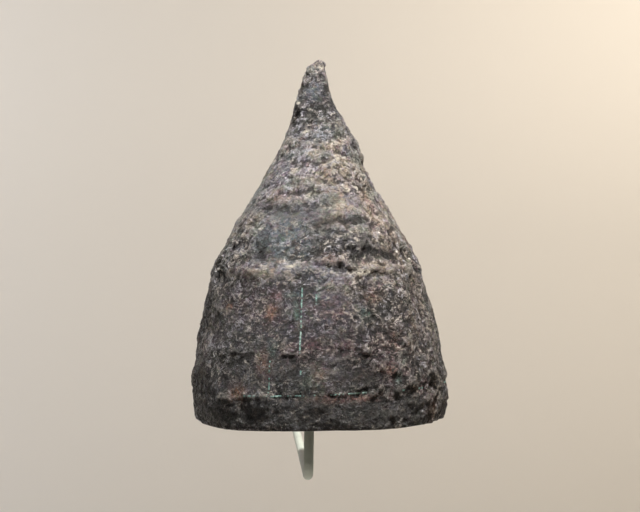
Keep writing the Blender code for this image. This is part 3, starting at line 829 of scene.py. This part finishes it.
# Over the whole crust: chalk where it is flaky, paler above the shoulder, and darker towards the rim. The
# strip under each ledge and the cracks are darkened as painted shade.
everywhere = {
    "chalk_and_glint": 0.5 * crumbly * rising(0.25, upper_zone),
    "pale": 0.80 * smooth_step(ups, 0.36, 0.58)[:, None],
    "dark": 0.5 * shadow_under_ledges + 0.8 * sum(crack_lines) + 0.24 * lower_zone,
}
stains = {kind: stain_table(kind, everywhere.get(kind, 0.0)) for kind in STAINS}
print({kind: round(float(table.mean()), 2) for kind, table in stains.items()})

# %% [markdown]
# The stains, the proudness and the flakiness go onto the mesh as numbers on its vertices. A material
# can read them, so the paint follows the shape from every side. They have to be listed in the order
# in which the rings were joined.

# %% Put the stains on the skin
INSIDE = {"rust": 0.55, "red": 0.1, "dark": 0.35, "tan": 0.1, "flaky": 0.3}
FULLY_PROUD_MM = 0.45


def in_skin_order(table, inside):
    """A table as one list: inner wall, lip, outer wall ring by ring, and the two poles."""
    outer = [table[row, ::step] for row, step in enumerate(column_steps)]
    inner = np.full(INNER_ROWS * len(half_turns), inside)
    return np.concatenate([inner, np.tile(table[0], LIP_STEPS), *outer, [inside, table[-1].mean()]])


painted = {**stains, "proud": np.clip(proud / FULLY_PROUD_MM, -1, 1), "flaky": flaking}
for name, table in painted.items():
    values = in_skin_order(table, INSIDE.get(name, 0.0))
    attribute = skin.attributes.new(name, "FLOAT", "POINT")
    attribute.data.foreach_set("value", values.astype(np.float32))
print("numbers on each vertex:", sorted(painted))

# %% [markdown]
# The copper-alloy strips were hammered into grooves in the iron. The crust has grown over most of
# them, so that only crumbs of blue-green show in a line. Here each strip is a whole ribbon that
# follows the crusted wall, and sinks under it wherever the photograph shows no copper. Sinking it is
# truer than cutting it up, because the metal does run on under the rust.

# %% Inlay ribbons
RIBBON_STEP = 0.55 * MM
RIBBON_WIDTH = 1.6 * MM
RIBBON_THICKNESS = 0.9 * MM
RIBBON_SHOWN = 0.10 * MM
RIBBON_HIDDEN = -0.75 * MM
SECTION_ACROSS = np.array([-0.5, -0.36, 0.36, 0.5, 0.36, -0.36]) * RIBBON_WIDTH
SECTION_DEPTH = np.array([-0.5, 0.0, 0.0, -0.5, -1.0, -1.0]) * RIBBON_THICKNESS
A_ROW_NEAR_THE_RING = 20
TURNED_AWAY = 0.1

SHOWN = {
    "rim_inlay_ring": marks(
        (274, 395, 34.0, 9.0, 0.75), (344, 392, 17.0, 9.0, 0.8), (365, 385, 9.0, 9.0, 0.7),
        (401, 388, 6.0, 9.0, 0.75), (422, 381, 8.0, 9.0, 0.75),
    ),
    "front_inlay_left": marks(
        (305, 292, 9.0, 12.0, 0.85), (302, 338, 9.0, 14.0, 1.0), (303, 316, 9.0, 8.0, 0.6),
    ),
    "front_inlay_right": marks(
        (318, 294, 9.0, 8.0, 0.8),
    ),
    "panel_inlay_inner": marks(
        (307, 385, 9.0, 10.0, 0.8), (308, 370, 9.0, 6.0, 0.25),
    ),
    "panel_inlay_outer": marks(
        (271, 387, 9.0, 7.0, 0.9), (271, 366, 9.0, 8.0, 0.6),
    ),
}


def on_wall(table, turn, level):
    """Values of a table at any turn and height, blended between its four nearest entries."""
    row = np.clip((level - levels[0]) / (levels[1] - levels[0]), 0, ROWS - 1.001)
    column = (turn + math.pi) / (2 * math.pi) * COLUMNS
    low_row, low_column = np.floor(row).astype(int), np.floor(column).astype(int)
    up_share, round_share = row - low_row, column - low_column
    if table.ndim == 3:
        up_share, round_share = up_share[..., None], round_share[..., None]
    left, right = low_column % COLUMNS, (low_column + 1) % COLUMNS
    below = table[low_row, left] * (1 - round_share) + table[low_row, right] * round_share
    above = table[low_row + 1, left] * (1 - round_share) + table[low_row + 1, right] * round_share
    return below * (1 - up_share) + above * up_share


def strip_path(name):
    """Turns and heights along a strip's middle line, read from its solid, and whether it is a ring."""
    points = node_points(name)
    turn = turn_of(points)
    if np.ptp(turn) < math.pi:
        level = np.arange(points[:, 2].min(), points[:, 2].max(), RIBBON_STEP)
        return np.full(len(level), (turn.min() + turn.max()) / 2), level, False
    count = int(2 * math.pi * outer_radius[A_ROW_NEAR_THE_RING].mean() / RIBBON_STEP)
    turn = np.linspace(-math.pi, math.pi, count, endpoint=False)
    return turn, by_turn(points, turn, np.mean), True


def ribbon(name):
    """One strip: a flat bar along the wall, raised where copper shows, sunk where the crust covers it."""
    turn, level, is_ring = strip_path(name)
    line = np.zeros_like(SECTION_ACROSS)
    if is_ring:
        turn_grid, level_grid = turn[:, None] + line, level[:, None] - SECTION_ACROSS
    else:
        turn_grid = turn[:, None] + SECTION_ACROSS / on_wall(outer_radius, turn, level)[:, None]
        level_grid = level[:, None] + line
    wall = on_wall(outer_wall, turn_grid, level_grid)
    normal = on_wall(wall_normals, turn_grid, level_grid)
    middle = wall.mean(axis=1, keepdims=True)
    grains = layered_noise(middle, 2.4 * MM, 2, seed=60)[..., 0]
    lost = layered_noise(middle, 9 * MM, 2, seed=61)[..., 0]
    shown = sum(on_wall(m.strength * spot(m, power=4), turn, level) for m in SHOWN[name])
    away = is_ring & (on_wall(faces_eye, turn, level) < TURNED_AWAY)
    shown = np.maximum(shown, np.where(away, smooth_step(lost, 0.0, 0.3), 0.0))
    show = smooth_step(np.clip(shown * (0.8 + 2.2 * grains), 0, 1), 0.15, 0.6)
    lift = RIBBON_HIDDEN + (RIBBON_SHOWN - RIBBON_HIDDEN) * show
    loops = wall + normal * (lift[:, None] + SECTION_DEPTH)[..., None]
    poles = [] if is_ring else [loops[0].mean(axis=0), loops[-1].mean(axis=0)]
    return piece_from_rings(name + "_ribbon", loops, *poles)


ribbons = {name: ribbon(name) for name in SHOWN}
print("ribbons:", {name: len(piece.data.vertices) for name, piece in ribbons.items()})

# %% [markdown]
# The mount is one steel rod, bent where it turns up, and painted off-white. It is a circle swept
# along a path. Its ends are softened by two smaller circles, so that the edge catches the light as
# an edge that has been filed does.

# %% The rod
BEND_RADIUS = 16 * MM
ARM_STEPS, BEND_STEPS, POST_STEPS = 12, 16, 12
ROD_SIDES = 40
END_SOFTENING = 0.5 * MM
NEAR_WALL_END, NEAR_TOP = 1.0 * MM, 0.5 * MM

rod_points = node_points("stand_rod")
rod_low, rod_high = rod_points.min(axis=0), rod_points.max(axis=0)
wall_end = rod_points[rod_points[:, 1] > rod_high[1] - NEAR_WALL_END]
rod_radius = np.ptp(wall_end[:, 2]) / 2
arm_y, arm_z = ((wall_end.min(axis=0) + wall_end.max(axis=0)) / 2)[1:]
rod_top = rod_points[rod_points[:, 2] > rod_high[2] - NEAR_TOP].mean(axis=0)
bend_start = rod_low[1] + rod_radius + BEND_RADIUS


def in_plane(y, z):
    """Points in the rod's own plane, where x is 0."""
    return np.stack([np.zeros_like(y), y, z], axis=-1)


def swept_tube(name, path, radii, sides):
    """Circles set square to the path, with the x axis as their first direction."""
    along = np.gradient(path, axis=0)
    along /= np.linalg.norm(along, axis=1, keepdims=True)
    up = np.cross(along, (1.0, 0.0, 0.0))
    up /= np.linalg.norm(up, axis=1, keepdims=True)
    side = np.cross(up, along)
    angle = np.linspace(0, 2 * math.pi, sides, endpoint=False)
    circle = np.cos(angle)[:, None] * side[:, None] + np.sin(angle)[:, None] * up[:, None]
    loops = path[:, None] + circle * radii[:, None, None]
    return piece_from_rings(name, loops, loops[0].mean(axis=0), loops[-1].mean(axis=0))


# The middle line: along the arm, a quarter circle, and up to the seat.
arm_line = np.linspace(arm_y, bend_start, ARM_STEPS, endpoint=False)
arm = in_plane(arm_line, np.full_like(arm_line, arm_z))
quarter = np.linspace(0, math.pi / 2, BEND_STEPS)
bend_y, bend_z = bend_start - BEND_RADIUS * np.sin(quarter), arm_z + BEND_RADIUS * (1 - np.cos(quarter))
bend = in_plane(bend_y, bend_z)
share = np.linspace(0, 1, POST_STEPS + 1)[1:, None]
post = bend[-1] * (1 - share) + rod_top * share
path = np.concatenate([arm, bend, post])

soft_start, soft_end = path[:1] - (0, END_SOFTENING, 0), path[-1:] - (0, 0, END_SOFTENING)
path = np.concatenate([path[:1], soft_start, path[1:-1], soft_end, path[-1:]])
radii = np.full(len(path), rod_radius)
radii[[0, -1]] -= END_SOFTENING
rod_piece = swept_tube("painted_rod", path, radii, ROD_SIDES)
print("rod radius", round(rod_radius / MM, 2), "mm, top at", (rod_top / MM).round(1), "mm")

# %% [markdown]
# Materials are graphs of nodes. One small function adds a node, sets its options and joins its
# inputs, so each line below reads as one step of the finish. The kinds of node are a table: a kind's
# options, the inputs it is given, in order, and the output that is used. All patterns are measured
# in millimetres of the real object.

# %% Nodes
Kind = namedtuple("Kind", "type settings inputs output")
PLACE = Kind("ShaderNodeTexCoord", {}, (), "Object")
SHIFT = Kind("ShaderNodeMapping", {}, ("Vector", "Location"), 0)
SQUEEZE = Kind("ShaderNodeMapping", {}, ("Vector", "Scale"), 0)
NOISE_INPUTS = ("Vector", "Scale", "Detail", "Roughness", "Distortion")
NOISE = Kind("ShaderNodeTexNoise", {}, NOISE_INPUTS, "Fac")
CELLS = Kind("ShaderNodeTexVoronoi", {"feature": "F1"}, ("Vector", "Scale"), "Distance")
RAMP = Kind("ShaderNodeMapRange", {"interpolation_type": "SMOOTHSTEP"}, (0, 1, 2, 3, 4), 0)
MULTIPLY = Kind("ShaderNodeMath", {"operation": "MULTIPLY"}, (0, 1), 0)
SUBTRACT = Kind("ShaderNodeMath", {"operation": "SUBTRACT"}, (0, 1), 0)
ADD = Kind("ShaderNodeMath", {"operation": "ADD"}, (0, 1), 0)
ABSOLUTE = Kind("ShaderNodeMath", {"operation": "ABSOLUTE"}, (0,), 0)
MIX = Kind("ShaderNodeMix", {"data_type": "RGBA", "blend_type": "MIX"}, (0, 6, 7), 2)
DARKEN = Kind("ShaderNodeMix", {"data_type": "RGBA", "blend_type": "MULTIPLY"}, (0, 6, 7), 2)
RECOLOUR = Kind("ShaderNodeMix", {"data_type": "RGBA", "blend_type": "COLOR"}, (0, 6, 7), 2)
STORED = Kind("ShaderNodeAttribute", {}, (), "Fac")
BUMP = Kind("ShaderNodeBump", {}, ("Height", "Distance", "Strength", "Normal"), "Normal")


def lumps_of(size_mm):
    """The scale of a pattern whose lumps are so many millimetres wide: 1 / size in metres."""
    return 1 / (size_mm * MM)


class Finish:
    """A new material with a principled shader and its Object coordinates."""

    def __init__(self, name):
        self.material = bpy.data.materials.new(name)
        self.material.use_nodes = True
        self.tree = self.material.node_tree
        self.shader = self.tree.nodes["Principled BSDF"]
        self.place = self.add(PLACE)

    def feed(self, node, inputs):
        """Set a node's inputs by name or number: a value on the socket itself, an output by a link."""
        for socket, value in inputs.items():
            if isinstance(value, bpy.types.NodeSocket):
                self.tree.links.new(value, node.inputs[socket])
            else:
                node.inputs[socket].default_value = value

    def add(self, kind, *values, **settings):
        """Add a node of a kind with its settings, feed its inputs in order, and give its output."""
        node = self.tree.nodes.new(kind.type)
        for name, value in {**kind.settings, **settings}.items():
            setattr(node, name, value)
        self.feed(node, dict(zip(kind.inputs, values)))
        return node.outputs[kind.output]


print("lumps of 2 mm need a pattern scale of", lumps_of(2))

# %% [markdown]
# The helmet was beaten out of wrought iron, and its skin today is what the ground left: hard
# purple-brown oxide that drifts to olive grey and plum. The eye reads it as a dry, flaking crust
# because no two patches have the same tone. One way would be to paint a picture of it, but a picture
# only fits one side. Here clouds of noise mix the body's tones, and the stored stains lie over them.

# %% Corroded iron
iron = Finish("corroded_iron_crust")
add, place = iron.add, iron.place
stored = {name: add(STORED, attribute_name=name) for name in painted}
shifted = add(SHIFT, place, (3, 1, 2))
squeezed = add(SQUEEZE, place, (1, 1, 1.3))

# The crust's body.
olive = add(RAMP, add(NOISE, place, lumps_of(13), 4, 0.65), 0.40, 0.60)
plum = add(RAMP, add(NOISE, shifted, lumps_of(8), 4, 0.65), 0.50, 0.64, 0.0, 0.8)
earth = add(RAMP, add(NOISE, shifted, lumps_of(5), 4, 0.7), 0.42, 0.30, 0.0, 0.6)
tone = add(MIX, olive, linear("#342e34"), linear("#3a3c35"))
tone = add(MIX, plum, tone, linear("#393348"))
tone = add(MIX, earth, tone, linear("#554b43"))

# Stains, from broad to small, the pale mineral first. Some of the stains carry painted light and
# shade, as their tables mark.
Stain = namedtuple("Stain", "kind colour strength")
STAIN_COLOURS = [
    Stain("tan", "#907f6f", 0.80),
    Stain("cool", "#646f80", 0.85),
    Stain("dark", "#1f1f21", 0.80),
    Stain("rust", "#875438", 0.75),
    Stain("red", "#6d3a45", 0.70),
    Stain("green", "#467468", 0.85),
]
lilac = add(RAMP, add(NOISE, place, lumps_of(17), 4, 0.65), 0.42, 0.58)
mossy = add(RAMP, add(NOISE, shifted, lumps_of(26), 4, 0.65), 0.47, 0.58, 0.0, 0.75)
pale_mineral_and_light = add(MIX, lilac, linear("#bdb09c"), linear("#a09aa6"))
pale_mineral_and_light = add(MIX, mossy, pale_mineral_and_light, linear("#929e96"))
tone = add(MIX, add(MULTIPLY, stored["pale"], 0.85), tone, pale_mineral_and_light)
for stain in STAIN_COLOURS:
    tone = add(MIX, add(MULTIPLY, stored[stain.kind], stain.strength), tone, linear(stain.colour))

# The oxides differ in hue from crumb to crumb. Recolouring changes the hue and keeps the lightness.
Hue = namedtuple("Hue", "shift colour")
HUES = [
    Hue((7, 2, 5), "#7a4a72"),
    Hue((1, 9, 4), "#3f5f80"),
    Hue((5, 5, 9), "#8a5a38"),
    Hue((9, 3, 1), "#56704a"),
]
calm_in_pale = add(RAMP, stored["pale"], 0.2, 0.8, 1.0, 0.6)
for hue in HUES:
    cloud = add(NOISE, add(SHIFT, place, hue.shift), lumps_of(7), 5, 0.72)
    amount = add(MULTIPLY, add(RAMP, cloud, 0.53, 0.64, 0.0, 0.5), calm_in_pale)
    tone = add(RECOLOUR, amount, tone, linear(hue.colour))

# One broken-up noise sets both the small relief and its tone: crests are pale with dust and a
# painted highlight, and hollows get painted shade.
scale = add(NOISE, squeezed, lumps_of(5.6), 9, 0.73, 1.2)
body_tone = tone
dusty = add(RAMP, add(NOISE, shifted, lumps_of(12), 3, 0.6), 0.40, 0.60)
dust_and_glint = add(MIX, dusty, linear("#efe6da"), linear("#dadae4"))
speck = add(RAMP, stored["flaky"], 0.0, 0.6, 0.50, 1.0)
speck = add(MULTIPLY, speck, add(RAMP, stored["dark"], 0.0, 1.0, 1.0, 0.35))
speck = add(MULTIPLY, speck, add(RAMP, stored["pale"], 0.0, 0.6, 0.95, 0.70))
scale_hollow_shade = add(MULTIPLY, add(RAMP, scale, 0.51, 0.44), add(RAMP, stored["flaky"], 0.0, 0.6, 0.6, 1.0))
scale_hollow_shade = add(MULTIPLY, scale_hollow_shade, add(RAMP, stored["pale"], 0.2, 0.8, 1.0, 0.58))
crest_dust_and_highlight = add(MULTIPLY, add(RAMP, scale, 0.535, 0.575), speck)
tone = add(MIX, scale_hollow_shade, tone, add(DARKEN, 1.0, body_tone, linear("#211c1d")))
tone = add(MIX, crest_dust_and_highlight, tone, add(MIX, 0.92, body_tone, dust_and_glint))

# Small vivid stains lie over the scale: iron rust, red oxide and copper salts.
OVER_SCALE = {"rust": "#9c6948", "red": "#7f4d59", "green": "#5c9482"}
on_scale = add(RAMP, scale, 0.42, 0.56, 0.0, 0.46)
for kind, colour in OVER_SCALE.items():
    tone = add(MIX, add(MULTIPLY, stored[kind], on_scale), tone, linear(colour))

# Thin wandering lines where a noise crosses its middle: crevices with painted shade, and edges of
# scale with a painted highlight.
line_noise = add(SUBTRACT, add(NOISE, squeezed, lumps_of(6), 4, 0.6, 1.6), 0.5)
crevice = add(RAMP, add(ABSOLUTE, line_noise), 0.005, 0.028, 1.0, 0.0)
line_noise = add(SUBTRACT, add(NOISE, shifted, lumps_of(5), 4, 0.6, 1.4), 0.5)
edge_line = add(RAMP, add(ABSOLUTE, line_noise), 0.004, 0.022, 1.0, 0.0)
edge_line = add(MULTIPLY, edge_line, add(RAMP, scale, 0.46, 0.56))
crevice_amount = add(MULTIPLY, crevice, add(RAMP, stored["pale"], 0.2, 0.8, 0.9, 0.6))
tone = add(MIX, crevice_amount, tone, add(DARKEN, 1.0, body_tone, linear("#1f1a1a")))
tone = add(MIX, add(MULTIPLY, edge_line, speck), tone, add(MIX, 0.15, dust_and_glint, tone))

# Chalky crumbs stand out almost white, and so do the painted highlights and glints marked with them.
chalk_and_glint = add(MULTIPLY, add(RAMP, stored["chalk_and_glint"], 0.25, 0.75), add(RAMP, scale, 0.40, 0.52))
tone = add(MIX, chalk_and_glint, tone, linear("#e2dbcd"))

# Proud grains are worn and dusty and get a painted highlight; hollows get painted shade.
wear_and_highlight = add(RAMP, stored["proud"], 0.1, 1.0, 0.0, 0.40)
relief_hollow_shade = add(RAMP, stored["proud"], -0.1, -1.0, 0.0, 0.80)
tone = add(MIX, wear_and_highlight, tone, add(MIX, 0.6, linear("#c4c0ba"), tone))
tone = add(MIX, relief_hollow_shade, tone, add(DARKEN, 1.0, tone, linear("#45403f")))

# The small relief: crevices are cut in, scale edges stand up, and fine blisters lie over both. The
# blisters are drawn a little coarse, at 1.8 mm, so that they still show from this distance.
SCALE_RELIEF_MM, BLISTER_RELIEF_MM, BLISTER_SIZE_MM = 5.0, 0.7, 1.8
cut = add(SUBTRACT, scale, add(MULTIPLY, crevice, 0.18))
raised = add(ADD, cut, add(MULTIPLY, edge_line, 0.12))
rough = add(BUMP, raised, SCALE_RELIEF_MM * MM, 1.0)
rough = add(BUMP, add(CELLS, place, lumps_of(BLISTER_SIZE_MM)), BLISTER_RELIEF_MM * MM, 0.8, rough)
satin = add(RAMP, scale, 0.48, 0.56, 0.62, 0.22)
iron.feed(iron.shader, {"Base Color": tone, "Roughness": satin, "Metallic": 0.10, "Normal": rough})
print("corroded iron has", len(iron.tree.nodes), "nodes")

# %% [markdown]
# The strips are copper alloy, cut from sheet and hammered in. Damp turned their surface to
# verdigris, a matt crust of blue-green salts with paler and greyer crumbs. It tells the eye that
# this is another metal, so it has no shine and a fine powdery grain.

# %% Blue-green copper alloy
verdigris = Finish("verdigris_crust")
add, place = verdigris.add, verdigris.place
salts = add(RAMP, add(NOISE, place, lumps_of(2.2), 4, 0.7), 0.40, 0.62)
grime = add(RAMP, add(NOISE, place, lumps_of(1.6), 4, 0.55), 0.42, 0.56, 0.0, 0.7)
tone = add(MIX, salts, linear("#568682"), linear("#acc8c0"))
tone = add(MIX, grime, tone, linear("#454745"))
powder = add(BUMP, add(NOISE, place, lumps_of(1.1), 3, 0.55), 0.4 * MM, 0.8)
verdigris.feed(verdigris.shader, {"Base Color": tone, "Roughness": 0.7, "Normal": powder})
print("copper alloy has", len(verdigris.tree.nodes), "nodes")

# %% [markdown]
# The rod is mild steel, sprayed with off-white satin paint so that it draws little attention. Spray
# leaves a faint orange-peel ripple, and handling leaves it slightly uneven in tone. That softens the
# highlight along it, which is what tells the eye that it is painted and not bare metal.

# %% Off-white satin paint
paint = Finish("off_white_paint")
add, place = paint.add, paint.place
soiled = add(RAMP, add(NOISE, place, lumps_of(30), 3, 0.55), 0.40, 0.65)
tone = add(MIX, soiled, linear("#b0b8ae"), linear("#a6ada3"))
ripple = add(BUMP, add(NOISE, place, lumps_of(1.5), 2, 0.55), 0.03 * MM, 0.5)
paint.feed(paint.shader, {"Base Color": tone, "Roughness": 0.42, "Normal": ripple})
print("satin paint has", len(paint.tree.nodes), "nodes")

# %% [markdown]
# Each piece now takes its material and the place of the solid it stands for: it moves with the one
# body, and that solid is hidden.

# %% Hand the pieces over
pieces = [
    (helmet, "iron_shell", "corroded_iron", iron),
    (rod_piece, "stand_rod", "painted_steel", paint),
]
pieces += [(piece, name, "verdigris_copper_alloy", verdigris) for name, piece in ribbons.items()]
for piece, node, slot, finish in pieces:
    piece.data.materials.append(finish.material)
    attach(piece, "root")
    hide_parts(node)
print("pieces:", [piece.name for piece, node, slot, finish in pieces])

# %% [markdown]
# The light is soft and pale behind the helmet and dim on the camera's side. So the stage is one pale
# bowl of matt plaster, a floor that curves up into a wall all round, with no edge that the eye could
# catch on. It is lit mostly behind the helmet, with one steep key light over it.

# %% Stage
BOWL_RADIUS, BOWL_HEIGHT, BOWL_CORNER = 3.2, 3.2, 0.9
BOWL_SIDES, CORNER_STEPS, FLOOR_STEPS = 96, 14, 5
BOWL_FIRST_RING = 0.4
FLOOR_BELOW = 0.62

flat_reach = BOWL_RADIUS - BOWL_CORNER
corner_angle = np.linspace(0, math.pi / 2, CORNER_STEPS)
floor_radii = np.linspace(BOWL_FIRST_RING, flat_reach, FLOOR_STEPS, endpoint=False)
bowl_radii = np.concatenate([floor_radii, flat_reach + BOWL_CORNER * np.sin(corner_angle), [BOWL_RADIUS]])
corner_heights = BOWL_CORNER * (1 - np.cos(corner_angle))
bowl_heights = np.concatenate([np.zeros(FLOOR_STEPS), corner_heights, [BOWL_HEIGHT]]) - FLOOR_BELOW
around = np.linspace(0, 2 * math.pi, BOWL_SIDES, endpoint=False)[::-1]
bowl_x = axis_x + bowl_radii[:, None] * np.cos(around)
bowl_y = axis_y + bowl_radii[:, None] * np.sin(around)
bowl_z = bowl_heights[:, None] * np.ones_like(around)
bowl_rings = np.stack([bowl_x, bowl_y, bowl_z], axis=-1)
bowl = piece_from_rings("studio_bowl", bowl_rings, [axis_x, axis_y, -FLOOR_BELOW])
plaster = Finish("pale_plaster")
plaster.feed(plaster.shader, {"Base Color": linear("#e6e3dd"), "Roughness": 0.95})
bowl.data.materials.append(plaster.material)

# Places and aims are metres from the helmet's axis, and metres up.
Lamp = namedtuple("Lamp", "name place aim size watts colour spread_degrees")
AT_HELMET = (0.0, 0.0, rim_z + helmet_height / 2)
LAMPS = [
    Lamp("key", (0.25, -0.55, 2.0), AT_HELMET, 0.22, 10.8, "#fffaf4", 60),
    Lamp("right_fill", (1.6, -0.6, 1.1), AT_HELMET, 0.8, 1.6, "#ffe8cf", 90),
    Lamp("left_fill", (-1.7, -0.5, 0.9), AT_HELMET, 0.8, 0.7, "#e4ebf4", 90),
    Lamp("wall_warm", (1.5, 1.3, 1.25), (0.8, 3.2, 0.95), 0.9, 20.5, "#fff0dc", 130),
    Lamp("wall_cool", (-1.5, 1.3, 1.0), (-1.1, 3.2, 0.7), 0.9, 17, "#f6f8ff", 160),
]
DIM_LIGHT_COLOUR, DIM_LIGHT_STRENGTH = "#c9c5be", 0.07

for lamp in LAMPS:
    data = bpy.data.lights.new(lamp.name, "AREA")
    data.shape, data.size, data.energy = "SQUARE", lamp.size, lamp.watts
    data.color, data.spread = linear(lamp.colour)[:3], math.radians(lamp.spread_degrees)
    light = bpy.data.objects.new(lamp.name, data)
    light.location = np.add(lamp.place, (axis_x, axis_y, 0))
    away_x, away_y, away_z = np.subtract(lamp.place, lamp.aim)
    tilt = math.atan2(math.hypot(away_x, away_y), away_z)
    light.rotation_euler = (tilt, 0.0, math.atan2(away_x, -away_y))
    light.visible_camera = False
    bpy.context.scene.collection.objects.link(light)

world = bpy.data.worlds.new("dim_light")
world.use_nodes = True
world.node_tree.nodes["Background"].inputs["Color"].default_value = linear(DIM_LIGHT_COLOUR)
world.node_tree.nodes["Background"].inputs["Strength"].default_value = DIM_LIGHT_STRENGTH
bpy.context.scene.world = world
view = bpy.context.scene.view_settings
view.view_transform, view.look, view.exposure = "Standard", "None", 0.0
print("stage and", len(LAMPS), "lamps are in place")
